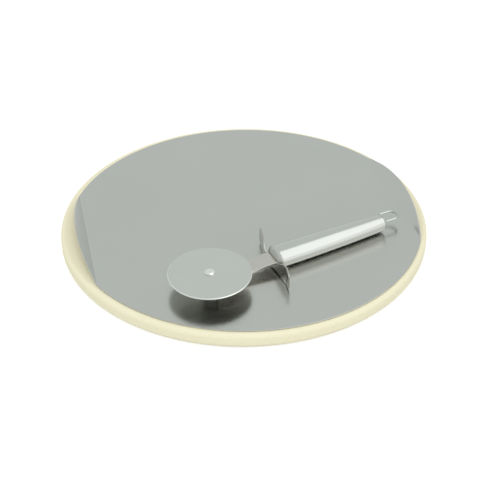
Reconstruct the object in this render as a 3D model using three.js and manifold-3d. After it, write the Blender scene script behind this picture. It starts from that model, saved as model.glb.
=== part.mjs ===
// A pizza set: a round baking stone, a steel serving plate on it whose two opposite edges are
// folded up as grips, and a wheel cutter lying on the plate.
// Millimetres, +Z up. The origin is the centre of the stone's underside, and the lips face along X.
import * as THREE from 'three';
import { mergeVertices } from 'three/addons/utils/BufferGeometryUtils.js';
import Module from 'manifold-3d';

const wasm = await Module();
wasm.setup();

const { degToRad, lerp } = THREE.MathUtils;

// Clearances
const seatGap = 0.3; // between fixed pieces that rest on or sit in each other
const runningGap = 0.3; // between the wheel and what it turns on

// Serving plate
const plateDiameter = 318;
const plateThickness = 0.8;
const foldInset = 18.6; // fold line to the full round of the blank
const lipDepth = 15.9; // flat depth of a lip from its fold line, trimmed a little from the round
const lipAngle = degToRad(47);
const lipBendRadius = 3; // inside the bend
const plateShiftX = 0.8; // how far off the stone's middle the plate lies
const plateShiftY = -1.2;

// Baking stone
const stoneMargin = 6; // how far the stone shows round the plate
const stoneThickness = 13;
const stoneEdgeRadius = 4;

// Where the cutter lies on the plate
const cutterTurn = degToRad(14.8); // its axis from X
const hookToFold = 7.1; // hook's end to the fold line, along X
const hookEndShare = -0.28; // place of the hook's end along Y, as a share of the plate's radius

// Cutter wheel and its axle
const wheelDiameter = 70;
const wheelThickness = 1.4;
const wheelBevelWidth = 0.6;
const wheelEdgeThickness = 0.2;
const rivetShankDiameter = 5;
const rivetHeadDiameter = 9;
const rivetHeadHeight = 1.5;
const rivetTailDiameter = 8.4;
const rivetTailHeight = 1.2;
const bushDiameter = 12;
const bushLength = 5.2;

// Cutter arm, from the wheel's axis to its shoulders at the guard
const armLength = 59.6;
const armWidth = 17;
const armThickness = 2;
const armCrank = 2; // how much lower the arm is under the wheel
const armCrankStart = 28;
const armCrankEnd = 52;
const tangWidth = 10;
const tangLength = 34;

// Finger guard
const guardReach = 36.5; // from the handle's axis to each tip, across
const guardWidth = 14.5; // upright, at the wings
const guardThickness = 1.5;
const guardFullWidthFrom = 21; // from the handle's axis to where a wing has its full width
const guardFarBend = 10; // from the handle's axis to the bend of the far wing
const guardNearBend = 25;
const guardWingAngle = degToRad(20);
const guardBendRadius = 8; // of the strip's middle
const guardCornerRadius = 2.5;

// Handle
const noseLength = 3.6; // pressed together from the tube's oval to the arm
const noseFrontWidth = 18;
const noseFrontHeight = 5;
const capSpigotLength = 7;
const tubeLength = 105;
const tubeWall = 1;
const tubeFrontWidth = 24.6;
const tubeFrontHeight = 17;
const tubeRearDiameter = 15;
const rearDomeLength = 4.5;

// Hanging hook
const hookWireDiameter = 2.2;
const hookRunLength = 10.6; // straight run from the rear dome to the bend
const hookBendRadius = 6;
const hookReturnLength = 9; // free leg after the bend

// Places along the cutter's axis, from the wheel's axis
const guardFront = armLength - guardThickness;
const noseFront = armLength + seatGap;
const tubeFront = noseFront + noseLength;
const tubeBack = tubeFront + tubeLength;
const domeBack = tubeBack + seatGap + rearDomeLength;
const hookBendAt = domeBack + hookRunLength;
const hookWireRadius = hookWireDiameter / 2;
const hookEnd = hookBendAt + hookBendRadius + hookWireRadius;

// Facets
const discSegments = 96;
const wheelSegments = 72;
const smallSegments = 28;
const tubeSegments = 40;
const taperSteps = 8;
const roundingSteps = 5;
const wireSides = 10;
const hookSteps = 44;
const bedChords = 16; // chords of the plate from its middle to a fold line
const bendChords = 4;
const lipChords = 7;
const cutOverrun = 1; // how far a cutting solid runs past what it cuts
const mergeDistance = 1e-4;

// Solids

function solid(geometry) {
  const bare = geometry.clone();
  bare.deleteAttribute('normal');
  bare.deleteAttribute('uv');
  const merged = mergeVertices(bare, mergeDistance);
  const vertProperties = new Float32Array(merged.attributes.position.array);
  const triVerts = new Uint32Array(merged.index.array);
  if (signedVolume(vertProperties, triVerts) < 0) {
    for (let i = 0; i < triVerts.length; i += 3) {
      [triVerts[i], triVerts[i + 1]] = [triVerts[i + 1], triVerts[i]];
    }
  }
  return new wasm.Manifold(new wasm.Mesh({ numProp: 3, vertProperties, triVerts }));
}

function signedVolume(positions, triangles) {
  const corner = (index) => new THREE.Vector3().fromArray(positions, 3 * index);
  let total = 0;
  for (let i = 0; i < triangles.length; i += 3) {
    const [a, b, c] = [0, 1, 2].map((k) => corner(triangles[i + k]));
    total += a.dot(b.cross(c)) / 6;
  }
  return total;
}

function piece(name, body, material) {
  const { vertProperties, triVerts, numProp } = body.getMesh();
  const geometry = new THREE.BufferGeometry();
  const positions = new Float32Array((vertProperties.length / numProp) * 3);
  for (let i = 0; i < positions.length / 3; i += 1) {
    positions.set(vertProperties.subarray(i * numProp, i * numProp + 3), 3 * i);
  }
  geometry.setAttribute('position', new THREE.BufferAttribute(positions, 3));
  geometry.setIndex(new THREE.BufferAttribute(new Uint32Array(triVerts), 1));
  geometry.computeVertexNormals();
  const mesh = new THREE.Mesh(geometry, material);
  mesh.name = name;
  return mesh;
}

// Points of a quarter round from one side of a corner to the other, as [radius, height] pairs.
function quarterRound(centreRadius, centreHeight, radius, fromAngle) {
  const points = [];
  for (let i = 0; i <= roundingSteps; i += 1) {
    const angle = fromAngle + (i / roundingSteps) * (Math.PI / 2);
    points.push([centreRadius + radius * Math.cos(angle), centreHeight + radius * Math.sin(angle)]);
  }
  return points;
}

// A turned solid about Z, from [radius, height] pairs.
function turned(profile, segments) {
  const points = profile.map(([radius, height]) => new THREE.Vector2(radius, height));
  return new THREE.LatheGeometry(points, segments).rotateX(Math.PI / 2);
}

function ring(innerRadius, outerRadius, bottom, top, segments) {
  const profile = [
    [innerRadius, bottom],
    [outerRadius, bottom],
    [outerRadius, top],
    [innerRadius, top],
    [innerRadius, bottom],
  ];
  return solid(turned(profile, segments));
}

// Materials

function steel(color, roughness) {
  return new THREE.MeshStandardMaterial({ color, roughness, metalness: 1 });
}

function ceramic() {
  return new THREE.MeshStandardMaterial({ color: '#f0ead0', roughness: 0.75, metalness: 0 });
}

// Stone and plate

function pizzaStone() {
  const radius = plateDiameter / 2 + stoneMargin;
  const edge = Math.min(stoneEdgeRadius, stoneThickness / 2);
  const profile = [
    [0, 0],
    ...quarterRound(radius - edge, edge, edge, -Math.PI / 2),
    ...quarterRound(radius - edge, stoneThickness - edge, edge, 0),
    [0, stoneThickness],
  ];
  return piece('pizza_stone', solid(turned(profile, discSegments)), ceramic());
}

// The plate is a flat round blank whose two lips are bent up about straight fold lines. Each step
// along X is one chord of the blank, carried onto the bent section.
function servingPlate() {
  const radius = plateDiameter / 2;
  const foldAt = radius - foldInset;
  const trim = lipDepth / foldInset;
  const bendLength = (lipBendRadius + plateThickness / 2) * lipAngle;
  const tipAngle = Math.PI / discSegments;
  const stops = [
    { angle: Math.PI / 2, steps: 0 },
    { angle: Math.acos(foldAt / radius), steps: bedChords },
    { angle: Math.acos((foldAt + bendLength / trim) / radius), steps: bendChords },
    { angle: tipAngle, steps: lipChords },
  ];
  const rimAngles = [stops[0].angle];
  for (let i = 1; i < stops.length; i += 1) {
    for (let k = 1; k <= stops[i].steps; k += 1) {
      rimAngles.push(lerp(stops[i - 1].angle, stops[i].angle, k / stops[i].steps));
    }
  }
  const half = rimAngles.length - 1;
  const geometry = new THREE.BoxGeometry(2 * half, 2, 1, 2 * half, 1, 1);
  const position = geometry.attributes.position;
  for (let i = 0; i < position.count; i += 1) {
    const chord = Math.round(position.getX(i));
    const angle = rimAngles[Math.abs(chord)];
    const heightInSheet = position.getZ(i) > 0 ? plateThickness : 0;
    const past = radius * Math.cos(angle) - foldAt;
    const [reach, height] = bentSection(Math.min(past, past * trim), heightInSheet, bendLength);
    const across = Math.sign(chord) * (foldAt + reach);
    position.setXYZ(i, across, position.getY(i) * radius * Math.sin(angle), height);
  }
  return piece('serving_plate', solid(geometry), steel('#b2b7b3', 0.3));
}

// Where a point of the flat blank goes on the bent section: [distance past the fold line, height].
function bentSection(past, heightInSheet, bendLength) {
  if (past <= 0) {
    return [past, heightInSheet];
  }
  const angle = lipAngle * Math.min(past / bendLength, 1);
  const bendCentreHeight = plateThickness + lipBendRadius;
  const bendRadius = bendCentreHeight - heightInSheet;
  const straight = Math.max(past - bendLength, 0);
  return [
    bendRadius * Math.sin(angle) + straight * Math.cos(angle),
    bendCentreHeight - bendRadius * Math.cos(angle) + straight * Math.sin(angle),
  ];
}

// Cutter. Its frame has X along the handle from the wheel's axis, and Z up from the plate's top.

const axisHeight = seatGap + Math.max(tubeFrontHeight, guardWidth) / 2;
const armTop = axisHeight - armCrank + armThickness / 2;
const armBottom = armTop - armThickness;
const bushBottom = armTop + seatGap;
const wheelBottom = bushBottom + bushLength + runningGap;
const wheelTop = wheelBottom + wheelThickness;
const rivetHeadBottom = wheelTop + runningGap;
const rivetTailTop = armBottom - seatGap;
const boreRadius = rivetShankDiameter / 2 + runningGap;

function cutterWheel() {
  const radius = wheelDiameter / 2;
  const middle = (wheelBottom + wheelTop) / 2;
  const profile = [
    [boreRadius, wheelBottom],
    [radius - wheelBevelWidth, wheelBottom],
    [radius, middle - wheelEdgeThickness / 2],
    [radius, middle + wheelEdgeThickness / 2],
    [radius - wheelBevelWidth, wheelTop],
    [boreRadius, wheelTop],
    [boreRadius, wheelBottom],
  ];
  return piece('cutter_wheel', solid(turned(profile, wheelSegments)), steel('#bcc0bc', 0.22));
}

function axleRivet() {
  const shank = rivetShankDiameter / 2;
  const profile = [
    [0, rivetTailTop - rivetTailHeight],
    [rivetTailDiameter / 2 - rivetTailHeight / 2, rivetTailTop - rivetTailHeight],
    [rivetTailDiameter / 2, rivetTailTop - rivetTailHeight / 2],
    [rivetTailDiameter / 2, rivetTailTop],
    [shank, rivetTailTop],
    [shank, rivetHeadBottom],
  ];
  for (let i = 0; i < roundingSteps; i += 1) {
    const angle = (i / roundingSteps) * (Math.PI / 2);
    profile.push([
      (rivetHeadDiameter / 2) * Math.cos(angle),
      rivetHeadBottom + rivetHeadHeight * Math.sin(angle),
    ]);
  }
  profile.push([0, rivetHeadBottom + rivetHeadHeight]);
  return piece('axle_rivet', solid(turned(profile, smallSegments)), steel('#d6d8d4', 0.18));
}

function spacerBush() {
  const body = ring(boreRadius, bushDiameter / 2, bushBottom, bushBottom + bushLength, smallSegments);
  return piece('spacer_bush', body, steel('#a9ada9', 0.3));
}

// The strip's side view, swept across, meets its plan, cut straight down.
function cutterArm() {
  const halfThickness = armThickness / 2;
  const endRadius = armWidth / 2;
  const tangEnd = armLength + tangLength;
  const bends = [
    [-endRadius, -armCrank],
    [armCrankStart, -armCrank],
    [armCrankEnd, 0],
    [tangEnd, 0],
  ];
  const face = (offset) => bends.map(([x, z]) => new THREE.Vector2(x, axisHeight + z + offset));
  const sideView = new THREE.Shape([...face(-halfThickness), ...face(halfThickness).reverse()]);
  const strip = new THREE.ExtrudeGeometry(sideView, { depth: armWidth, bevelEnabled: false })
    .translate(0, 0, -armWidth / 2)
    .rotateX(Math.PI / 2);

  const plan = new THREE.Shape();
  plan.absarc(0, 0, endRadius, Math.PI / 2, (3 * Math.PI) / 2);
  plan.lineTo(armLength, -endRadius);
  plan.lineTo(armLength, -tangWidth / 2);
  plan.lineTo(tangEnd, -tangWidth / 2);
  plan.lineTo(tangEnd, tangWidth / 2);
  plan.lineTo(armLength, tangWidth / 2);
  plan.lineTo(armLength, endRadius);
  const hole = new THREE.Path().absarc(0, 0, boreRadius, 0, 2 * Math.PI, true);
  plan.holes.push(hole);
  const blank = new THREE.ExtrudeGeometry(plan, {
    depth: axisHeight + armThickness,
    bevelEnabled: false,
    curveSegments: smallSegments / 2,
  });
  return piece('cutter_arm', solid(strip).intersect(solid(blank)), steel('#b4b6b0', 0.26));
}

// Box round the tang with the seat's clearance, for the slot it goes through.
function tangSlot(from, to) {
  const length = to - from + 2 * cutOverrun;
  const box = new THREE.BoxGeometry(length, tangWidth + 2 * seatGap, armThickness + 2 * seatGap);
  return solid(box.translate((from + to) / 2, 0, axisHeight));
}

// Middle of the guard's strip from a wing's bend to its tip, as along, across and heading from across.
function guardWing(bendAt) {
  const stations = [{ along: 0, across: bendAt, heading: 0 }];
  for (let i = 1; i <= roundingSteps; i += 1) {
    const heading = (guardWingAngle * i) / roundingSteps;
    stations.push({
      along: guardBendRadius * (1 - Math.cos(heading)),
      across: bendAt + guardBendRadius * Math.sin(heading),
      heading,
    });
  }
  const bendEnd = stations[roundingSteps];
  const across = guardReach + cutOverrun;
  const along = bendEnd.along + (across - bendEnd.across) * Math.tan(guardWingAngle);
  stations.push({ along, across, heading: guardWingAngle });
  return stations;
}

// Front view of the guard as [across, up] from the handle's axis, without the arm's notch.
function guardFrontView() {
  const full = guardWidth / 2;
  const corner = [guardReach - guardCornerRadius, full - guardCornerRadius];
  const [rootAcross, rootUp] = [armWidth / 2, armThickness / 2];
  const view = new THREE.Shape();
  view.absarc(corner[0], corner[1], guardCornerRadius, 0, Math.PI / 2);
  view.lineTo(guardFullWidthFrom, full);
  view.lineTo(rootAcross, rootUp);
  view.lineTo(-rootAcross, rootUp);
  view.lineTo(-guardFullWidthFrom, full);
  view.absarc(-corner[0], corner[1], guardCornerRadius, Math.PI / 2, Math.PI);
  view.absarc(-corner[0], -corner[1], guardCornerRadius, Math.PI, (3 * Math.PI) / 2);
  view.absarc(corner[0], -corner[1], guardCornerRadius, (3 * Math.PI) / 2, 2 * Math.PI);
  return view;
}

// An upright strip, bent to an S: the far wing leans to the handle and the near wing to the wheel.
// The arm lies in a notch in its upper edge.
function fingerGuard() {
  const farWing = guardWing(guardFarBend);
  const nearWing = guardWing(guardNearBend)
    .map(({ along, across, heading }) => ({ along: -along, across: -across, heading }));
  const middle = [...nearWing.reverse(), ...farWing];
  const face = (offset) => middle.map(({ along, across, heading }) => new THREE.Vector2(
    along + offset * Math.cos(heading),
    across - offset * Math.sin(heading),
  ));
  const half = guardThickness / 2;
  const plan = new THREE.Shape([...face(half), ...face(-half).reverse()]);
  const strip = new THREE.ExtrudeGeometry(plan, { depth: guardWidth, bevelEnabled: false })
    .translate(guardFront + half, 0, axisHeight - guardWidth / 2);

  const armLow = axisHeight - armThickness / 2;
  const blank = new THREE.ExtrudeGeometry(guardFrontView(), {
    depth: 2 * guardReach,
    bevelEnabled: false,
    curveSegments: roundingSteps,
  });
  const acrossUpAlong = new THREE.Matrix4().makeBasis(
    new THREE.Vector3(0, 1, 0),
    new THREE.Vector3(0, 0, 1),
    new THREE.Vector3(1, 0, 0),
  );
  blank.applyMatrix4(acrossUpAlong).translate(guardFront - guardReach, 0, axisHeight);

  const notchHeight = guardWidth + cutOverrun;
  const notch = new THREE.BoxGeometry(2 * guardReach, armWidth + 2 * seatGap, notchHeight)
    .translate(guardFront, 0, armLow - seatGap + notchHeight / 2);
  const body = solid(strip).intersect(solid(blank)).subtract(solid(notch));
  return piece('finger_guard', body, steel('#b7bab6', 0.24));
}

// Half of the handle's outside at a place along the axis, from its size at the nose's front and at
// the tube's front. The nose swells to the tube in a quarter wave, and the tube narrows most at its
// rear.
function handleHalf(along, noseSize, frontSize) {
  const noseShare = (along - noseFront) / (tubeFront - seatGap - noseFront);
  if (noseShare < 1) {
    return lerp(noseSize, frontSize, Math.sin((noseShare * Math.PI) / 2)) / 2;
  }
  const taperShare = (along - tubeFront) / tubeLength;
  return lerp(frontSize, tubeRearDiameter, taperShare * taperShare) / 2;
}

function handleHalfWidth(along) {
  return handleHalf(along, noseFrontWidth, tubeFrontWidth);
}

function handleHalfHeight(along) {
  return handleHalf(along, noseFrontHeight, tubeFrontHeight);
}

// An oval solid along the handle, from [inset from the handle's outside, place along it] pairs. A
// pair whose inset is null lies on the axis.
function ovalTurned(profile) {
  const reference = tubeFrontWidth;
  const radii = profile.map(([inset, along]) => [inset === null ? 0 : reference - inset, along]);
  const geometry = turned(radii, tubeSegments).rotateY(Math.PI / 2);
  const position = geometry.attributes.position;
  for (let i = 0; i < position.count; i += 1) {
    const [along, across, up] = [position.getX(i), position.getY(i), position.getZ(i)];
    const radius = Math.hypot(across, up);
    const inset = reference - radius;
    const onAxis = radius < mergeDistance;
    position.setY(i, onAxis ? 0 : (across / radius) * (handleHalfWidth(along) - inset));
    position.setZ(i, axisHeight + (onAxis ? 0 : (up / radius) * (handleHalfHeight(along) - inset)));
  }
  return solid(geometry);
}

function frontCap() {
  const spigotInset = tubeWall + seatGap;
  const tubeFace = tubeFront - seatGap;
  const profile = [[null, noseFront]];
  for (let i = 0; i <= roundingSteps; i += 1) {
    profile.push([0, lerp(noseFront, tubeFace, i / roundingSteps)]);
  }
  profile.push([spigotInset, tubeFace]);
  profile.push([spigotInset, tubeFace + capSpigotLength]);
  profile.push([null, tubeFace + capSpigotLength]);
  const body = ovalTurned(profile).subtract(tangSlot(noseFront, tubeFace + capSpigotLength));
  return piece('front_cap', body, steel('#c4c6c2', 0.2));
}

function handleTube() {
  const outside = [];
  for (let i = 0; i <= taperSteps; i += 1) {
    outside.push([0, lerp(tubeFront, tubeBack, i / taperSteps)]);
  }
  const inside = outside.map(([, along]) => [tubeWall, along]).reverse();
  const profile = [...outside, ...inside, outside[0]];
  return piece('handle_tube', ovalTurned(profile), steel('#d0d2ce', 0.2));
}

function rearCap() {
  const spigotInset = tubeWall + seatGap;
  const domeFront = tubeBack + seatGap;
  const domeRadius = handleHalfWidth(domeFront);
  const profile = [
    [null, domeFront - capSpigotLength],
    [spigotInset, domeFront - capSpigotLength],
    [spigotInset, domeFront],
  ];
  for (let i = 0; i < roundingSteps; i += 1) {
    const angle = (i / roundingSteps) * (Math.PI / 2);
    profile.push([domeRadius * (1 - Math.cos(angle)), domeFront + rearDomeLength * Math.sin(angle)]);
  }
  profile.push([null, domeBack]);
  const boreLength = domeBack - domeFront + capSpigotLength + 2 * cutOverrun;
  const bore = new THREE.CylinderGeometry(
    hookWireRadius + seatGap,
    hookWireRadius + seatGap,
    boreLength,
    2 * wireSides,
  );
  bore.rotateZ(Math.PI / 2).translate(domeBack + cutOverrun - boreLength / 2, 0, axisHeight);
  return piece('rear_cap', ovalTurned(profile).subtract(solid(bore)), steel('#c4c6c2', 0.2));
}

// Half turn in the level plane, from the handle's axis to the far side.
class HookBend extends THREE.Curve {
  getPoint(share, target = new THREE.Vector3()) {
    const angle = Math.PI * (share - 0.5);
    return target.set(
      hookBendAt + hookBendRadius * Math.cos(angle),
      hookBendRadius * (1 + Math.sin(angle)),
      axisHeight,
    );
  }
}

function hangingHook() {
  const at = (along, across) => new THREE.Vector3(along, across, axisHeight);
  const returnSide = 2 * hookBendRadius;
  const route = new THREE.CurvePath();
  route.add(new THREE.LineCurve3(at(tubeBack + seatGap - capSpigotLength, 0), at(hookBendAt, 0)));
  route.add(new HookBend());
  route.add(new THREE.LineCurve3(
    at(hookBendAt, returnSide),
    at(hookBendAt - hookReturnLength, returnSide),
  ));
  const section = new THREE.Shape().absarc(0, 0, hookWireRadius, 0, 2 * Math.PI);
  const wire = new THREE.ExtrudeGeometry(section, {
    steps: hookSteps,
    curveSegments: wireSides / 2,
    bevelEnabled: false,
    extrudePath: route,
  });
  return piece('hanging_hook', solid(wire), steel('#cfd1cd', 0.2));
}

// Assembly

const plateGroup = new THREE.Group();
plateGroup.position.set(plateShiftX, plateShiftY, stoneThickness + seatGap);
plateGroup.add(servingPlate());

const cutterGroup = new THREE.Group();
cutterGroup.position.set(
  plateDiameter / 2 - foldInset - hookToFold - hookEnd * Math.cos(cutterTurn),
  (hookEndShare * plateDiameter) / 2 - hookEnd * Math.sin(cutterTurn),
  plateThickness,
);
cutterGroup.rotation.z = cutterTurn;
cutterGroup.add(
  cutterWheel(),
  axleRivet(),
  spacerBush(),
  cutterArm(),
  fingerGuard(),
  frontCap(),
  handleTube(),
  rearCap(),
  hangingHook(),
);
plateGroup.add(cutterGroup);

const pizzaSet = new THREE.Group();
pizzaSet.add(pizzaStone(), plateGroup);

export default pizzaSet;
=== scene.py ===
import math
import bmesh
import bpy
from mathutils import Matrix, Vector


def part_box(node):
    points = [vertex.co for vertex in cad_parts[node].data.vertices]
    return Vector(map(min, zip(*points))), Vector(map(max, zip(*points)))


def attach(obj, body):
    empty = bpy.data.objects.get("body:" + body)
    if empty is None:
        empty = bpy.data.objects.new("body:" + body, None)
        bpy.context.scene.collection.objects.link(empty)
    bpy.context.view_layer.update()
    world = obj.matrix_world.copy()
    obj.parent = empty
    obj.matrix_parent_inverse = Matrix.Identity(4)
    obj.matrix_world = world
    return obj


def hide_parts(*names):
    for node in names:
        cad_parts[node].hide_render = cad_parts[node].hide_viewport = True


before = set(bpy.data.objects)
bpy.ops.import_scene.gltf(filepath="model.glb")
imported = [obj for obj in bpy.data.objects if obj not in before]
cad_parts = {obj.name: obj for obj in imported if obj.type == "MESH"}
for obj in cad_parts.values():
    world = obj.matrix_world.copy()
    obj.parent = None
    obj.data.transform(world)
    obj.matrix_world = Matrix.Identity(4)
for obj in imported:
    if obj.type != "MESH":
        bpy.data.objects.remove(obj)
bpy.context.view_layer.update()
print("frame loaded with", len(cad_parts), "nodes")

mm = 0.001  # piece sizes are in millimetres, and the placing matrices carry this factor
mergeDistance = 1e-4  # millimetres, as the pieces are
creaseAngle = math.radians(35)  # edges sharper than this shade as creases
sharpAngle = math.radians(60)  # edges sharper than this get a small round
edgeSegments = 3
roundSegments = 8
domeSteps = 10


# Mesh helpers

def pick(geom, kind):
    return [g for g in geom if isinstance(g, kind)]


def roundCorners(bm, corners, radius):
    bmesh.ops.bevel(bm, geom=corners, offset=radius, offset_type="OFFSET", segments=roundSegments,
                    profile=0.5, affect="VERTICES", material=-1)


def profileSpin(points, steps, rounds=None, closed=False):
    # points are (radius, height) pairs, and rounds gives a corner's number its radius
    bm = bmesh.new()
    verts = [bm.verts.new((radius, 0, height)) for radius, height in points]
    pairs = list(zip(verts, verts[1:]))
    if closed:
        pairs.append((verts[-1], verts[0]))
    for pair in pairs:
        bm.edges.new(pair)
    for corner, radius in (rounds or {}).items():
        roundCorners(bm, [verts[corner]], radius)
    bmesh.ops.spin(bm, geom=bm.verts[:] + bm.edges[:], cent=(0, 0, 0), axis=(0, 0, 1),
                   angle=math.tau, steps=steps, use_merge=True)
    bmesh.ops.remove_doubles(bm, verts=bm.verts, dist=mergeDistance)
    bmesh.ops.recalc_face_normals(bm, faces=bm.faces)
    return bm


def thicken(bm, thickness):
    # the sheet stays as the upper side, and the solid grows below it
    bmesh.ops.recalc_face_normals(bm, faces=bm.faces)
    bm.normal_update()
    flip = sum(f.normal.z * f.calc_area() for f in bm.faces) < 0
    if flip:
        bmesh.ops.reverse_faces(bm, faces=bm.faces)
    bmesh.ops.solidify(bm, geom=bm.faces[:], thickness=thickness)


def bevelSharp(bm, width, segments=edgeSegments):
    edges = [e for e in bm.edges if e.is_manifold and e.calc_face_angle(0) > sharpAngle]
    bmesh.ops.bevel(bm, geom=edges, offset=width, offset_type="OFFSET", segments=segments,
                    profile=0.5, affect="EDGES", material=-1)


def cutLines(bm, places, axis=(1, 0, 0)):
    for place in places:
        bmesh.ops.bisect_plane(bm, geom=bm.verts[:] + bm.edges[:] + bm.faces[:], dist=mergeDistance,
                               plane_co=Vector(axis) * place, plane_no=axis)


def foldBeyond(bm, lines, angle, side):
    # what lies past each line on one side turns about it, the outermost line first
    flat = {v: v.co.x for v in bm.verts}
    for line in reversed(lines):
        beyond = [v for v in bm.verts if side * flat[v] > line + mergeDistance]
        bmesh.ops.rotate(bm, verts=beyond, cent=(side * line, 0, 0),
                         matrix=Matrix.Rotation(angle / len(lines), 3, "Y"))


def addPiece(node, body, bm, place, material):
    bmesh.ops.remove_doubles(bm, verts=bm.verts, dist=mergeDistance)
    bmesh.ops.transform(bm, matrix=place, verts=bm.verts)
    bmesh.ops.recalc_face_normals(bm, faces=bm.faces)
    mesh = bpy.data.meshes.new(node)
    bm.to_mesh(mesh)
    bm.free()
    mesh.shade_smooth()
    mesh.set_sharp_from_angle(angle=creaseAngle)
    mesh.materials.append(material)
    piece = bpy.data.objects.new(node + "_look", mesh)
    bpy.context.scene.collection.objects.link(piece)
    weighted = piece.modifiers.new("even shading", "WEIGHTED_NORMAL")
    weighted.keep_sharp = True
    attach(piece, body)
    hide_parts(node)
    print("piece", piece.name, "has", len(mesh.polygons), "faces")


# Material helpers

noiseLow, noiseHigh = 0.25, 0.75  # most of a noise pattern lies between these
grainShare = 0.5  # of grain against cloud in a steel's roughness
ringDetail, ringDetailScale = 3.0, 2.0


def startMaterial(name):
    material = bpy.data.materials.new(name)
    material.use_nodes = True
    tree = material.node_tree
    return material, tree, tree.nodes["Principled BSDF"]


def addNode(tree, kind, inputs=None, **settings):
    node = tree.nodes.new(kind)
    for key, value in settings.items():
        setattr(node, key, value)
    for key, value in (inputs or {}).items():
        if isinstance(value, bpy.types.NodeSocket):
            tree.links.new(value, node.inputs[key])
        else:
            node.inputs[key].default_value = value
    return node


def objectPattern(tree, scale=(1, 1, 1), turn=0.0, centre=(0, 0, 0)):
    # object coordinates moved to a centre, turned about Z, then stretched
    coordinates = addNode(tree, "ShaderNodeTexCoord")
    centred = addNode(tree, "ShaderNodeMapping", {
        "Vector": coordinates.outputs["Object"], "Location": [-c for c in centre]})
    turned = addNode(tree, "ShaderNodeMapping", {
        "Vector": centred.outputs["Vector"], "Rotation": (0, 0, -turn)})
    stretched = addNode(tree, "ShaderNodeMapping", {
        "Vector": turned.outputs["Vector"], "Scale": scale})
    return stretched.outputs["Vector"]


def noise(tree, vector, scale, detail=3.0, roughness=0.55):
    texture = addNode(tree, "ShaderNodeTexNoise", {
        "Vector": vector, "Scale": scale, "Detail": detail, "Roughness": roughness})
    return texture.outputs["Fac"]


def spread(tree, value, low, high):
    ranged = addNode(tree, "ShaderNodeMapRange", {
        "Value": value, "From Min": noiseLow, "From Max": noiseHigh, "To Min": low, "To Max": high})
    return ranged.outputs["Result"]


def tint(tree, value, colourA, colourB):
    mixed = addNode(tree, "ShaderNodeMix", {"Factor": value}, data_type="RGBA")
    mixed.inputs["A"].default_value = (*colourA, 1)
    mixed.inputs["B"].default_value = (*colourB, 1)
    return mixed.outputs["Result"]


def fromScreen(red, green, blue):
    # a colour as a screen shows it, 0 to 255, made linear
    def linear(value):
        share = value / 255
        return share / 12.92 if share <= 0.04045 else ((share + 0.055) / 1.055) ** 2.4
    return linear(red), linear(green), linear(blue)


def groundEdgeAndSheen(tree, shader, look, radius, centre):
    # past this radius the metal is ground and rougher than the turned faces, and its colour is painted
    # brighter as a painted highlight along the rim
    flat = objectPattern(tree, (1, 1, 0), centre=centre)
    reach = addNode(tree, "ShaderNodeVectorMath", {"Vector": flat}, operation="LENGTH")
    past = addNode(tree, "ShaderNodeMath", {0: reach.outputs["Value"], 1: radius},
                   operation="GREATER_THAN").outputs["Value"]
    ends = {"Base Color": ("RGBA", (*look["groundSheenColour"], 1)),
            "Roughness": ("FLOAT", look["groundRoughness"])}
    for socket, (kind, ground) in ends.items():
        turned = shader.inputs[socket].links[0].from_socket
        mixed = addNode(tree, "ShaderNodeMix", {"Factor": past, "A": turned, "B": ground}, data_type=kind)
        tree.links.new(mixed.outputs["Result"], shader.inputs[socket])


def steelMaterial(name, look, turn=0.0, centre=(0, 0, 0), rings=False):
    material, tree, shader = startMaterial(name)
    cloud = noise(tree, objectPattern(tree), look["cloudScale"])
    pattern = objectPattern(tree, look["grainStretch"], turn, centre)
    if rings:
        wave = addNode(tree, "ShaderNodeTexWave", {
            "Vector": pattern, "Scale": look["grainScale"], "Distortion": look["ringWobble"],
            "Detail": ringDetail, "Detail Scale": ringDetailScale}, wave_type="RINGS", rings_direction="Z")
        grain = wave.outputs["Fac"]
    else:
        grain = noise(tree, pattern, look["grainScale"])
    blend = addNode(tree, "ShaderNodeMix", {"Factor": grainShare, "A": cloud, "B": grain},
                    data_type="FLOAT")
    tree.links.new(tint(tree, cloud, look["colourA"], look["colourB"]), shader.inputs["Base Color"])
    tree.links.new(spread(tree, blend.outputs["Result"], *look["roughness"]), shader.inputs["Roughness"])
    bump = addNode(tree, "ShaderNodeBump", {
        "Height": grain, "Strength": look["grainStrength"], "Distance": look["grainDepth"]})
    tree.links.new(bump.outputs["Normal"], shader.inputs["Normal"])
    shader.inputs["Metallic"].default_value = 1.0
    return material


# Where the pieces go

stoneLow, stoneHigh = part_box("pizza_stone")
plateLow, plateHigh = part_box("serving_plate")
wheelLow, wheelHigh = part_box("cutter_wheel")

cutterSpec = dict(
    turn=math.radians(14.8),  # handle's axis from X
    axisHeight=8.8,  # handle's axis above the plate
    seatGap=0.3,  # between pieces that fit together
    seamGap=0.08,  # where such a joint shows
)
plateSheet = 0.8
plateTop = plateLow.z + plateSheet * mm
wheelCentre = (wheelLow + wheelHigh) / 2
inMillimetres = Matrix.Scale(mm, 4)
standing = Matrix(((0, 0, 1), (1, 0, 0), (0, 1, 0))).to_4x4()  # flat x, y, z to across, up, along
cutterPlace = (Matrix.Translation((wheelCentre.x, wheelCentre.y, plateTop))
               @ Matrix.Rotation(cutterSpec["turn"], 4, "Z") @ inMillimetres)


# Baking stone

stoneSpec = dict(
    edgeRound=4.0,
    steps=192,
)
stoneLook = dict(
    colourA=fromScreen(231, 227, 200),
    colourB=fromScreen(226, 221, 189),
    speckColour=fromScreen(213, 203, 168),
    speckScale=420.0,
    speckFade=(0.08, 0.3),  # from a speck's middle, in cells
    speckShare=0.5,
    roughness=(0.5, 0.72),
    cloudScale=14.0,
    grainScale=900.0,
    grainDetail=4.0,
    grainStrength=0.12,
    grainDepth=0.0004,
)


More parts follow.
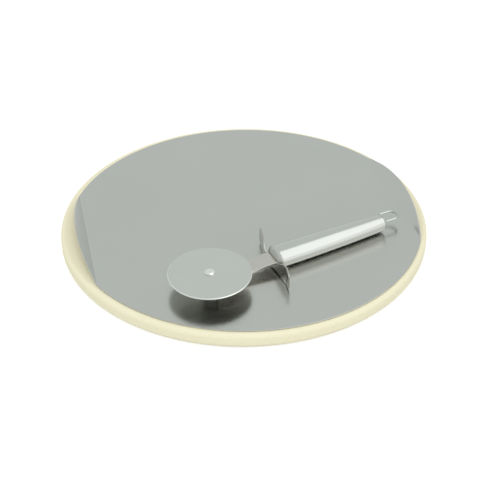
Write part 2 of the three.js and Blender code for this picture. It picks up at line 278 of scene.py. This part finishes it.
def stoneMaterial():
    material, tree, shader = startMaterial("cream ceramic")
    plain = objectPattern(tree)
    cloud = noise(tree, plain, stoneLook["cloudScale"])
    grain = noise(tree, plain, stoneLook["grainScale"], detail=stoneLook["grainDetail"])
    specks = addNode(tree, "ShaderNodeTexVoronoi", {"Vector": plain, "Scale": stoneLook["speckScale"]})
    fadeStart, fadeEnd = stoneLook["speckFade"]
    speckShare = addNode(tree, "ShaderNodeMapRange", {
        "Value": specks.outputs["Distance"], "From Min": fadeStart, "From Max": fadeEnd,
        "To Min": stoneLook["speckShare"], "To Max": 0.0})
    body = tint(tree, cloud, stoneLook["colourA"], stoneLook["colourB"])
    speckled = addNode(tree, "ShaderNodeMix", {"Factor": speckShare.outputs["Result"]}, data_type="RGBA")
    tree.links.new(body, speckled.inputs["A"])
    speckled.inputs["B"].default_value = (*stoneLook["speckColour"], 1)
    tree.links.new(speckled.outputs["Result"], shader.inputs["Base Color"])
    tree.links.new(spread(tree, grain, *stoneLook["roughness"]), shader.inputs["Roughness"])
    bump = addNode(tree, "ShaderNodeBump", {
        "Height": grain, "Strength": stoneLook["grainStrength"], "Distance": stoneLook["grainDepth"]})
    tree.links.new(bump.outputs["Normal"], shader.inputs["Normal"])
    return material


def bakingStone():
    radius = stoneHigh.x / mm
    height = stoneHigh.z / mm
    profile = [(0, 0), (radius, 0), (radius, height), (0, height)]
    rounds = {1: stoneSpec["edgeRound"], 2: stoneSpec["edgeRound"]}
    bm = profileSpin(profile, stoneSpec["steps"], rounds)
    addPiece("pizza_stone", "stone", bm, inMillimetres, stoneMaterial())


bakingStone()


# Serving plate: a round blank, folded in small turns about each bend line

plateSpec = dict(
    diameter=318.0,
    foldInset=18.6,  # fold line to the full round of the blank
    lipDepth=15.9,  # flat, trimmed a little from the round
    lipAngle=math.radians(47),
    bendInside=3.0,
    bendSteps=8,
    rimRound=0.25,
    rimSegments=288,
)
plateLook = dict(
    colourA=fromScreen(206, 206, 202),
    colourB=fromScreen(200, 200, 196),
    roughness=(0.2, 0.26),
    cloudScale=9.0,
    grainScale=700.0,
    grainStretch=(0.03, 1, 1),  # rolling grain runs along X
    grainStrength=0.02,
    grainDepth=0.0002,
)


def servingPlate():
    radius = plateSpec["diameter"] / 2
    foldAt = radius - plateSpec["foldInset"]
    trim = plateSpec["lipDepth"] / plateSpec["foldInset"]
    bendLength = (plateSpec["bendInside"] + plateSheet / 2) * plateSpec["lipAngle"]
    steps = plateSpec["bendSteps"]
    bm = bmesh.new()
    bmesh.ops.create_circle(bm, cap_ends=True, segments=plateSpec["rimSegments"], radius=radius)
    lines = [foldAt + bendLength * (k + 0.5) / steps for k in range(steps)]
    cutLines(bm, [foldAt, -foldAt])
    for side in (1, -1):
        for vert in bm.verts:
            vert.co.x += side * (trim - 1) * max(side * vert.co.x - foldAt, 0)
        cutLines(bm, [side * line for line in lines])
        foldBeyond(bm, lines, -side * plateSpec["lipAngle"], side)
    thicken(bm, plateSheet)
    bevelSharp(bm, plateSpec["rimRound"])
    middle = (plateLow + plateHigh) / 2
    place = Matrix.Translation((middle.x, middle.y, plateTop)) @ inMillimetres
    material = steelMaterial("satin sheet", plateLook)
    addPiece("serving_plate", "plate", bm, place, material)


servingPlate()


# Cutter wheel, its rivet and its bush, all turned about the wheel's axis

wheelSpec = dict(
    bevelWidth=0.6,
    edge=0.2,
    bore=2.8,
    steps=160,
)
wheelLook = dict(
    colourA=fromScreen(216, 216, 212),
    colourB=fromScreen(210, 210, 206),
    roughness=(0.12, 0.18),
    cloudScale=40.0,
    grainScale=420.0,
    grainStretch=(1, 1, 1),
    ringWobble=1.5,
    grainStrength=0.03,
    grainDepth=0.0002,
    # painted highlight: the bevel's brighter colour stands in for the rim's sheen, while its roughness is
    # the real ground finish
    groundSheenColour=fromScreen(240, 243, 238),
    groundRoughness=0.45,
)
rivetSpec = dict(
    shank=2.5,
    headRadius=4.5,
    headHeight=1.5,
    tailRadius=4.2,
    tailHeight=1.2,
    tailRound=0.5,
    steps=64,
)
bushSpec = dict(
    radius=6.0,
    length=5.2,
    edgeRound=0.4,
    steps=64,
)
rivetLook = dict(
    colourA=fromScreen(240, 240, 236),
    colourB=fromScreen(232, 232, 228),
    roughness=(0.14, 0.24),
    cloudScale=120.0,
    grainScale=900.0,
    grainStretch=(1, 1, 1),
    ringWobble=1.0,
    grainStrength=0.03,
    grainDepth=0.0002,
)
# painted shade: the bush's steel is painted darker than the other steel parts for the shade under the
# wheel, and its dullness is its roughness
shadedBushLook = dict(
    colourA=fromScreen(148, 148, 143),
    colourB=fromScreen(138, 138, 133),
    roughness=(0.35, 0.45),
    cloudScale=120.0,
    grainScale=900.0,
    grainStretch=(1, 1, 1),
    ringWobble=1.0,
    grainStrength=0.05,
    grainDepth=0.0002,
)
wheelLowSide = (wheelLow.z - plateTop) / mm
wheelTopSide = (wheelHigh.z - plateTop) / mm


def cutterWheel():
    radius = (wheelHigh.x - wheelLow.x) / 2 / mm
    middle = (wheelLowSide + wheelTopSide) / 2
    half = wheelSpec["edge"] / 2
    profile = [
        (wheelSpec["bore"], wheelLowSide),
        (radius - wheelSpec["bevelWidth"], wheelLowSide),
        (radius, middle - half),
        (radius, middle + half),
        (radius - wheelSpec["bevelWidth"], wheelTopSide),
        (wheelSpec["bore"], wheelTopSide),
    ]
    bm = profileSpin(profile, wheelSpec["steps"], closed=True)
    material = steelMaterial("turned wheel", wheelLook, centre=wheelCentre, rings=True)
    tree = material.node_tree
    # the bevel gets its real rougher finish and a painted highlight in its colour
    groundEdgeAndSheen(tree, tree.nodes["Principled BSDF"], wheelLook, (radius - wheelSpec["bevelWidth"]) * mm,
               wheelCentre)
    addPiece("cutter_wheel", "wheel", bm, cutterPlace, material)


def axleRivet():
    gap = cutterSpec["seatGap"]
    headLow = wheelTopSide + gap
    skirtLow = wheelTopSide + cutterSpec["seamGap"]
    bushLow = wheelLowSide - gap - bushSpec["length"]
    tailTop = bushLow - gap - armSpec["thickness"] - gap
    tailLow = tailTop - rivetSpec["tailHeight"]
    profile = [
        (0, tailLow),
        (rivetSpec["tailRadius"], tailLow),
        (rivetSpec["tailRadius"], tailTop),
        (rivetSpec["shank"], tailTop),
        (rivetSpec["shank"], skirtLow),
        (rivetSpec["headRadius"], skirtLow),
        (rivetSpec["headRadius"], headLow),
    ]
    for k in range(1, domeSteps + 1):
        angle = math.pi / 2 * k / domeSteps
        profile.append((rivetSpec["headRadius"] * math.cos(angle),
                        headLow + rivetSpec["headHeight"] * math.sin(angle)))
    bm = profileSpin(profile, rivetSpec["steps"], {1: rivetSpec["tailRound"]})
    material = steelMaterial("polished rivet", rivetLook, centre=wheelCentre, rings=True)
    addPiece("axle_rivet", "cutter", bm, cutterPlace, material)


def spacerBush():
    top = wheelLowSide - cutterSpec["seatGap"]
    low = top - bushSpec["length"]
    inner, outer = wheelSpec["bore"], bushSpec["radius"]
    profile = [(inner, low), (outer, low), (outer, top), (inner, top)]
    rounds = {1: bushSpec["edgeRound"], 2: bushSpec["edgeRound"]}
    bm = profileSpin(profile, bushSpec["steps"], rounds, closed=True)
    # the bush's darker colour is painted shade under the wheel
    material = steelMaterial("dull shaded bush", shadedBushLook, centre=wheelCentre, rings=True)
    addPiece("spacer_bush", "cutter", bm, cutterPlace, material)


# Cutter arm: a ring round the rivet, drawn out to a strip with a crank and a tang

armSpec = dict(
    length=59.6,
    width=17.0,
    thickness=2.0,
    crank=2.0,
    crankStart=28.0,
    crankEnd=52.0,
    crankSteps=12,
    tangWidth=10.0,
    tangLength=34.0,
    edgeRound=0.3,
    ringSegments=64,
)
armLook = dict(
    colourA=fromScreen(211, 207, 200),
    colourB=fromScreen(203, 199, 192),
    roughness=(0.12, 0.2),
    cloudScale=50.0,
    grainScale=900.0,
    grainStretch=(0.05, 1, 1),
    grainStrength=0.03,
    grainDepth=0.0002,
)
tangHeight = cutterSpec["axisHeight"]


def cutterArm():
    half = armSpec["width"] / 2
    bm = bmesh.new()
    bmesh.ops.create_circle(bm, segments=armSpec["ringSegments"], radius=wheelSpec["bore"])
    rim = bmesh.ops.create_circle(bm, segments=armSpec["ringSegments"], radius=half)
    bmesh.ops.bridge_loops(bm, edges=bm.edges[:])
    for vert in rim["verts"]:  # the handle's side of the ring becomes a square end
        if vert.co.x > mergeDistance:
            vert.co.xy *= half / max(abs(vert.co.x), abs(vert.co.y))
    ends = [e for e in bm.edges if all(v.co.x > half - mergeDistance for v in e.verts)]
    crankSpan = armSpec["crankEnd"] - armSpec["crankStart"]
    stops = [armSpec["crankStart"] + crankSpan * k / armSpec["crankSteps"]
             for k in range(armSpec["crankSteps"] + 1)]
    at = half
    for stop in stops + [armSpec["length"]]:
        drawn = bmesh.ops.extrude_edge_only(bm, edges=ends)["geom"]
        verts = pick(drawn, bmesh.types.BMVert)
        ends = [e for e in pick(drawn, bmesh.types.BMEdge) if all(v in verts for v in e.verts)]
        bmesh.ops.translate(bm, verts=verts, vec=(stop - at, 0, 0))
        at = stop
    tangHalf = armSpec["tangWidth"] / 2
    cutLines(bm, [tangHalf, -tangHalf], axis=(0, 1, 0))
    tangEnds = [e for e in bm.edges if all(v.co.x > armSpec["length"] - mergeDistance
                                           and abs(v.co.y) < tangHalf + mergeDistance for v in e.verts)]
    drawn = bmesh.ops.extrude_edge_only(bm, edges=tangEnds)["geom"]
    bmesh.ops.translate(bm, verts=pick(drawn, bmesh.types.BMVert), vec=(armSpec["tangLength"], 0, 0))
    for vert in bm.verts:
        share = min(max((vert.co.x - armSpec["crankStart"]) / crankSpan, 0), 1)
        vert.co.z = tangHeight + armSpec["crank"] * (share - 1) + armSpec["thickness"] / 2
    thicken(bm, armSpec["thickness"])
    bevelSharp(bm, armSpec["edgeRound"])
    material = steelMaterial("polished strip", armLook, turn=cutterSpec["turn"])
    addPiece("cutter_arm", "cutter", bm, cutterPlace, material)


cutterWheel()
axleRivet()
spacerBush()
cutterArm()


# Finger guard: an upright strip with the arm in its notch, its wings bent to opposite ends of the cutter

guardSpec = dict(
    reach=36.5,  # from the handle's axis to each tip
    width=14.5,
    thickness=1.5,
    fullWidthFrom=21.0,
    farBend=10.0,
    nearBend=25.0,
    wingAngle=math.radians(20),
    bendRadius=8.0,
    bendSteps=8,
    cornerRound=2.5,
    edgeRound=0.4,
)
# painted shade: the guard's steel is painted darker than the arm's for the shade and dimmer reflections on
# its bent wings
shadedGuardLook = dict(
    colourA=fromScreen(188, 186, 179),
    colourB=fromScreen(180, 178, 171),
    roughness=(0.16, 0.24),
    cloudScale=60.0,
    grainScale=900.0,
    grainStretch=(1, 0.05, 1),
    grainStrength=0.03,
    grainDepth=0.0002,
)


def fingerGuard():
    angle, radius, steps = guardSpec["wingAngle"], guardSpec["bendRadius"], guardSpec["bendSteps"]
    thickness = guardSpec["thickness"]
    half = guardSpec["width"] / 2

    def flat(across, bend):
        # a place across the bent guard, laid out on the flat blank
        straight = across - bend - radius * math.sin(angle)
        return bend + radius * angle + straight / math.cos(angle) if straight > 0 else across

    tip = guardSpec["reach"] - thickness / 2 * math.sin(angle)
    farTip = flat(tip, guardSpec["farBend"])
    farFull = flat(guardSpec["fullWidthFrom"], guardSpec["farBend"])
    nearTip = flat(tip, guardSpec["nearBend"])
    nearFull = flat(guardSpec["fullWidthFrom"], guardSpec["nearBend"])
    notch = armSpec["width"] / 2 + cutterSpec["seatGap"]
    rootUp = armSpec["thickness"] / 2
    webUp = rootUp - armSpec["thickness"] - cutterSpec["seatGap"]
    outline = [(-nearTip, -half), (farTip, -half), (farTip, half), (farFull, half),
               (notch, rootUp), (notch, webUp), (-notch, webUp), (-notch, rootUp),
               (-nearFull, half), (-nearTip, half)]
    bm = bmesh.new()
    verts = [bm.verts.new((across, up, 0)) for across, up in outline]
    bm.faces.new(verts)
    tips = [vert for vert, (across, up) in zip(verts, outline) if across in (-nearTip, farTip)]
    roundCorners(bm, tips, guardSpec["cornerRound"])
    for side, bend in ((1, guardSpec["farBend"]), (-1, guardSpec["nearBend"])):
        lines = [bend + radius * angle * (k + 0.5) / steps for k in range(steps)]
        cutLines(bm, [side * line for line in lines])
        foldBeyond(bm, lines, -angle, side)
    thicken(bm, thickness)
    bevelSharp(bm, guardSpec["edgeRound"])
    front = armSpec["length"] - thickness / 2
    place = Matrix.Translation((front, 0, cutterSpec["axisHeight"])) @ standing
    bmesh.ops.transform(bm, matrix=place, verts=bm.verts)
    # the guard's darker colour is painted shade
    material = steelMaterial("bent strip", shadedGuardLook, turn=cutterSpec["turn"])
    addPiece("finger_guard", "cutter", bm, cutterPlace, material)


fingerGuard()


# Handle: an oval tube that tapers to a round rear end, closed by two caps

handleSpec = dict(
    front=63.5,
    length=105.0,
    wall=1.0,
    frontHalf=(12.3, 8.5),  # across, up
    rearHalf=(7.5, 7.5),
    noseLength=3.3,
    noseHalf=(9.0, 2.5),
    noseEdge=0.4,
    noseSteps=14,
    domeLength=4.5,
    spigot=7.0,
    sides=96,
    lengthSteps=20,
    endRound=0.12,
)
handleLook = dict(
    colourA=fromScreen(210, 210, 206),
    colourB=fromScreen(204, 204, 200),
    roughness=(0.14, 0.2),
    cloudScale=30.0,
    grainScale=900.0,
    grainStretch=(0.04, 1, 1),
    grainStrength=0.03,
    grainDepth=0.0002,
)
noseLook = dict(
    colourA=fromScreen(214, 214, 210),
    colourB=fromScreen(207, 207, 203),
    roughness=(0.34, 0.42),
    cloudScale=60.0,
    grainScale=900.0,
    grainStretch=(1, 1, 1),
    grainStrength=0.05,
    grainDepth=0.0002,
)
handleMaterial = steelMaterial("satin tube", handleLook, turn=cutterSpec["turn"])


def handleHalf(along):
    # half sizes across and up: the nose swells in a quarter wave, and the tube narrows most at its rear
    noseShare = 1 - (handleSpec["front"] - cutterSpec["seatGap"] - along) / handleSpec["noseLength"]
    if noseShare < 1:
        wave = math.sin(noseShare * math.pi / 2)
        return [nose + (front - nose) * wave
                for nose, front in zip(handleSpec["noseHalf"], handleSpec["frontHalf"])]
    share = (along - handleSpec["front"]) / handleSpec["length"]
    return [front + (rear - front) * share ** 2
            for front, rear in zip(handleSpec["frontHalf"], handleSpec["rearHalf"])]


def ovalRing(bm, along, inset):
    across, up = handleHalf(along)
    ring = bmesh.ops.create_circle(bm, segments=handleSpec["sides"], radius=1)["verts"]
    bmesh.ops.scale(bm, verts=ring, vec=(across - inset, up - inset, 1))
    place = Matrix.Translation((along, 0, cutterSpec["axisHeight"])) @ standing
    bmesh.ops.transform(bm, matrix=place, verts=ring)
    return ring


def ringEdges(ring):
    members = set(ring)
    return [e for v in ring for e in v.link_edges if all(w in members for w in e.verts)]


def ovalLoft(stations, closed=False):
    # stations are (along, inset) pairs, bridged in turn
    bm = bmesh.new()
    rings = [ovalRing(bm, along, inset) for along, inset in stations]
    pairs = list(zip(rings, rings[1:]))
    if closed:
        pairs.append((rings[-1], rings[0]))
    for first, second in pairs:
        edges = list(dict.fromkeys(ringEdges(first) + ringEdges(second)))
        bmesh.ops.bridge_loops(bm, edges=edges)
    return bm, rings


def capRing(bm, ring):
    return bmesh.ops.contextual_create(bm, geom=ring)["faces"]


def pocket(bm, faces, depth):
    sunk = bmesh.ops.extrude_face_region(bm, geom=faces)["geom"]
    bmesh.ops.translate(bm, verts=pick(sunk, bmesh.types.BMVert), vec=(depth, 0, 0))
    bmesh.ops.delete(bm, geom=faces, context="FACES")


def handleTube():
    closing = cutterSpec["seatGap"] - cutterSpec["seamGap"]
    front = handleSpec["front"] - closing
    back = handleSpec["front"] + handleSpec["length"] + closing
    outside = [(front + (back - front) * k / handleSpec["lengthSteps"], 0.0)
               for k in range(handleSpec["lengthSteps"] + 1)]
    inside = [(along, handleSpec["wall"]) for along, inset in reversed(outside)]
    bm = ovalLoft(outside + inside, closed=True)[0]
    bevelSharp(bm, handleSpec["endRound"])
    addPiece("handle_tube", "cutter", bm, cutterPlace, handleMaterial)


def frontCap():
    gap = cutterSpec["seatGap"]
    tubeFace = handleSpec["front"] - gap
    spigotInset = handleSpec["wall"] + gap
    stations = [(tubeFace + handleSpec["spigot"], spigotInset), (tubeFace, spigotInset)]
    noseFront = tubeFace - handleSpec["noseLength"]
    edge = handleSpec["noseEdge"]
    for k in range(handleSpec["noseSteps"] + 1):
        share = k / handleSpec["noseSteps"]
        stations.append((tubeFace + (noseFront + edge - tubeFace) * share, 0.0))
    roundMiddle = 0.3 * edge  # how far the middle of the edge's round lies inside its corner
    stations += [(noseFront + roundMiddle, roundMiddle), (noseFront, edge)]
    bm, rings = ovalLoft(stations)
    capRing(bm, rings[0])
    noseFace = capRing(bm, rings[-1])
    slotHalf = (armSpec["tangWidth"] / 2 + gap, armSpec["thickness"] / 2 + gap)
    pieces = noseFace + list(noseFace[0].edges) + list(noseFace[0].verts)
    for axis, half, middle in (((0, 1, 0), slotHalf[0], 0), ((0, 0, 1), slotHalf[1], tangHeight)):
        for side in (1, -1):
            pieces = bmesh.ops.bisect_plane(bm, geom=pieces, dist=mergeDistance, plane_no=axis,
                                            plane_co=Vector(axis) * (middle + side * half))["geom"]
    slotFaces = [f for f in pick(pieces, bmesh.types.BMFace)
                 if abs(f.calc_center_median().y) < slotHalf[0]
                 and abs(f.calc_center_median().z - tangHeight) < slotHalf[1]]
    pocket(bm, slotFaces, handleSpec["spigot"])
    material = steelMaterial("pressed nose", noseLook, turn=cutterSpec["turn"])
    addPiece("front_cap", "cutter", bm, cutterPlace, material)


def rearCap():
    gap = cutterSpec["seatGap"]
    domeFront = handleSpec["front"] + handleSpec["length"] + gap
    spigotInset = handleSpec["wall"] + gap
    across = handleHalf(domeFront)[0]
    boreInset = across - hookSpec["wire"] / 2 - gap
    stations = [(domeFront - handleSpec["spigot"], spigotInset), (domeFront, spigotInset)]
    lastAngle = math.acos(1 - boreInset / across)
    for k in range(domeSteps + 1):
        angle = lastAngle * k / domeSteps
        stations.append((domeFront + handleSpec["domeLength"] * math.sin(angle),
                         across * (1 - math.cos(angle))))
    bm, rings = ovalLoft(stations)
    capRing(bm, rings[0])
    bore = capRing(bm, rings[-1])
    pocket(bm, bore, -handleSpec["spigot"])
    addPiece("rear_cap", "cutter", bm, cutterPlace, handleMaterial)


# Hanging hook: a wire out of the rear cap, half turned, with a free leg

hookSpec = dict(
    wire=2.2,
    run=10.6,
    bend=6.0,
    freeLeg=9.0,
    sides=20,
    bendSteps=28,
    tipRound=0.7,
    tipSegments=4,
)
wireLook = dict(
    colourA=fromScreen(205, 208, 204),
    colourB=fromScreen(196, 199, 195),
    roughness=(0.08, 0.16),
    cloudScale=120.0,
    grainScale=900.0,
    grainStretch=(0.1, 1, 1),
    grainStrength=0.02,
    grainDepth=0.0002,
)


def hangingHook():
    domeBack = handleSpec["front"] + handleSpec["length"] + cutterSpec["seatGap"] + handleSpec["domeLength"]
    start = domeBack - handleSpec["domeLength"] - handleSpec["spigot"] + hookSpec["tipRound"]
    bendAt = domeBack + hookSpec["run"]
    bm = bmesh.new()
    section = bmesh.ops.create_circle(bm, cap_ends=True, segments=hookSpec["sides"],
                                      radius=hookSpec["wire"] / 2)["verts"]
    place = Matrix.Translation((start, 0, cutterSpec["axisHeight"])) @ standing
    bmesh.ops.transform(bm, matrix=place, verts=section)
    bendStart = pick(bmesh.ops.extrude_face_region(bm, geom=bm.faces[:])["geom"], bmesh.types.BMFace)
    bmesh.ops.translate(bm, verts=bendStart[0].verts, vec=(bendAt - start, 0, 0))
    turned = bmesh.ops.spin(bm, geom=bendStart, cent=(bendAt, hookSpec["bend"], cutterSpec["axisHeight"]),
                            axis=(0, 0, 1), angle=math.pi, steps=hookSpec["bendSteps"])
    bendEnd = pick(turned["geom_last"], bmesh.types.BMFace)
    tip = pick(bmesh.ops.extrude_face_region(bm, geom=bendEnd)["geom"], bmesh.types.BMFace)
    bmesh.ops.translate(bm, verts=tip[0].verts, vec=(-hookSpec["freeLeg"], 0, 0))
    bmesh.ops.delete(bm, geom=bendStart + bendEnd, context="FACES_ONLY")  # these two lie inside the wire
    bmesh.ops.recalc_face_normals(bm, faces=bm.faces)
    bevelSharp(bm, hookSpec["tipRound"], hookSpec["tipSegments"])
    material = steelMaterial("polished wire", wireLook, turn=cutterSpec["turn"])
    addPiece("hanging_hook", "cutter", bm, cutterPlace, material)


handleTube()
frontCap()
rearCap()
hangingHook()


# Floor, light and camera

stageSpec = dict(
    floorReach=4.0,  # metres
    floorDrop=0.0004,
    floorSides=96,
    floorRoughness=0.9,
    floorColour=(0.8, 0.8, 0.79),
    floorGlowSeen=0.4,  # added to the floor for the camera
    floorGlowMirrored=0.1,  # and for what mirrors it
    roomSeen=(1.0, 1.0, 1.0),  # by the camera
    roomMirrored=(0.715, 0.76, 0.75),  # in the metal
    roomLight=(1.0, 1.0, 1.0),  # on matt faces
)
keyLampSpec = dict(
    azimuth=-6.0,  # degrees from the front, towards +X
    elevation=48.0,
    roll=0.0,
    distance=1.7,  # metres
    slide=0.0,
    width=1.4,
    height=1.4,
    power=5.6,
    mirrored=False,  # lights without showing in the metal
)
sheenLampSpec = dict(
    azimuth=50.0,
    elevation=50.0,
    roll=math.radians(-22),
    distance=1.7,  # metres
    slide=0.6,  # along its height, from where it aims
    width=1.7,
    height=2.2,
    power=8.1,
    mirrored=True,  # only shows as a sheen
)
lowSheenLampSpec = dict(sheenLampSpec, slide=-1.1, height=1.2, power=2.8)
cameraSpec = dict(
    azimuth=-12.657,
    elevation=35.554,
    distance=0.9411,  # metres
    aim=(-0.01115, -0.03376, 0.013),
    roll=math.radians(-0.523),
    lens=80.0,
    sensor=36.0,
)


def awayFrom(point, azimuth, elevation, distance):
    turn, lift = math.radians(azimuth), math.radians(elevation)
    back = Vector((math.sin(turn) * math.cos(lift), -math.cos(turn) * math.cos(lift), math.sin(lift)))
    return Vector(point) + back * distance, back


def facing(back, roll):
    aimed = (-back).to_track_quat("-Z", "Y").to_matrix()
    return aimed @ Matrix.Rotation(roll, 3, "Z")


def paleFloor():
    bm = bmesh.new()
    bmesh.ops.create_circle(bm, cap_ends=True, segments=stageSpec["floorSides"],
                            radius=stageSpec["floorReach"])
    bmesh.ops.translate(bm, verts=bm.verts, vec=(0, 0, -stageSpec["floorDrop"]))
    mesh = bpy.data.meshes.new("floor")
    bm.to_mesh(mesh)
    bm.free()
    floor = bpy.data.objects.new("floor", mesh)
    bpy.context.scene.collection.objects.link(floor)
    material, tree, shader = startMaterial("pale floor")
    shader.inputs["Base Color"].default_value = (*stageSpec["floorColour"], 1)
    shader.inputs["Roughness"].default_value = stageSpec["floorRoughness"]
    shader.inputs["Specular IOR Level"].default_value = 0.0
    shader.inputs["Emission Color"].default_value = (1, 1, 1, 1)
    path = addNode(tree, "ShaderNodeLightPath")
    mirrored = addNode(tree, "ShaderNodeMath", {
        0: path.outputs["Is Glossy Ray"], 1: stageSpec["floorGlowMirrored"]}, operation="MULTIPLY")
    glow = addNode(tree, "ShaderNodeMath", {
        0: path.outputs["Is Camera Ray"], 1: stageSpec["floorGlowSeen"], 2: mirrored.outputs["Value"]},
        operation="MULTIPLY_ADD")
    tree.links.new(glow.outputs["Value"], shader.inputs["Emission Strength"])
    mesh.materials.append(material)


def whiteWorld():
    world = bpy.data.worlds.new("white room")
    world.use_nodes = True
    tree = world.node_tree
    background = tree.nodes["Background"]
    path = addNode(tree, "ShaderNodeLightPath")
    unseen = tint(tree, path.outputs["Is Glossy Ray"], stageSpec["roomLight"], stageSpec["roomMirrored"])
    room = addNode(tree, "ShaderNodeMix", {
        "Factor": path.outputs["Is Camera Ray"], "A": unseen, "B": (*stageSpec["roomSeen"], 1)},
        data_type="RGBA")
    tree.links.new(room.outputs["Result"], background.inputs["Color"])
    bpy.context.scene.world = world


def softbox(name, spec):
    data = bpy.data.lights.new(name, "AREA")
    data.shape = "RECTANGLE"
    data.size = spec["width"]
    data.size_y = spec["height"]
    data.energy = spec["power"]
    lamp = bpy.data.objects.new(name, data)
    place, back = awayFrom((0, 0, 0), spec["azimuth"], spec["elevation"], spec["distance"])
    rolled = facing(back, spec["roll"])
    lamp.location = place + rolled @ Vector((0, spec["slide"], 0))
    lamp.rotation_euler = rolled.to_euler()
    lamp.visible_diffuse = not spec["mirrored"]
    lamp.visible_glossy = spec["mirrored"]
    bpy.context.scene.collection.objects.link(lamp)


def photoCamera():
    data = bpy.data.cameras.new("camera")
    data.lens = cameraSpec["lens"]
    data.sensor_width = cameraSpec["sensor"]
    camera = bpy.data.objects.new("camera", data)
    place, back = awayFrom(cameraSpec["aim"], cameraSpec["azimuth"], cameraSpec["elevation"],
                           cameraSpec["distance"])
    camera.location = place
    camera.rotation_euler = facing(back, cameraSpec["roll"]).to_euler()
    bpy.context.scene.collection.objects.link(camera)
    bpy.context.scene.camera = camera


paleFloor()
whiteWorld()
softbox("key lamp", keyLampSpec)
softbox("sheen lamp", sheenLampSpec)
softbox("low sheen lamp", lowSheenLampSpec)
photoCamera()
bpy.context.scene.view_settings.view_transform = "Standard"
print("stage, light and camera are set")
